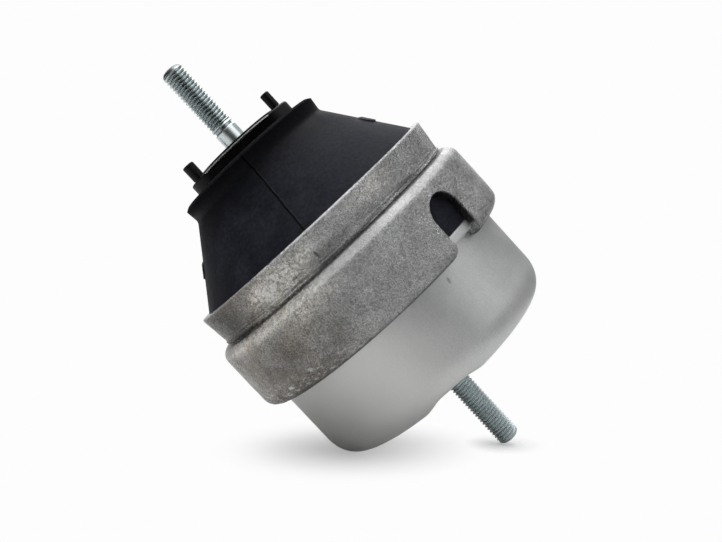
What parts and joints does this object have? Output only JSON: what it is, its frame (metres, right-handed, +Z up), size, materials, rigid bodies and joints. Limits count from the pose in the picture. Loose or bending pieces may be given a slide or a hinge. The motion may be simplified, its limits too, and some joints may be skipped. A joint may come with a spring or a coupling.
{
  "type": "hydraulic engine mount",
  "caption": "Hydraulic engine mount: black rubber cone and drawn fluid can held in a cast aluminium housing, with threaded studs at top and bottom and locating pins.",
  "frame": {"origin": "on the mount's axis, level with the flat underside of the pot, where the lower stud comes out", "axes": "+Z up the axis towards the upper stud, +X through the narrow locating pin, -Y the front, where the rubber's mould seam is"},
  "size_m": [0.103, 0.103, 0.1681],
  "materials": {
    "cast_aluminium": "rough shot-blasted casting with light staining",
    "drawn_aluminium": "fine matt",
    "black_rubber": "matt moulded",
    "black_coating": "satin black",
    "plated_steel": "bright zinc",
    "plain_steel": "plain rolled",
    "core_aluminium": "as cast",
    "track_plastic": "moulded"
  },
  "bodies": {
    "root": {"cast_housing": "cast_aluminium", "pot": "drawn_aluminium", "rubber_spring": "black_rubber", "inner_core": "core_aluminium", "insert_ring": "plain_steel", "top_plate": "black_coating", "top_disc": "black_coating", "locating_pin_wide": "black_coating", "locating_pin_narrow": "black_coating", "upper_stud": "plated_steel", "rebound_washer": "plain_steel", "lower_stud": "plated_steel", "backing_plate": "plain_steel", "bellows": "black_rubber", "bellows_ring": "plain_steel", "track_plate_lower": "track_plastic", "track_plate_upper": "track_plastic", "decoupler_membrane": "black_rubber"}
  },
  "joints": []
}
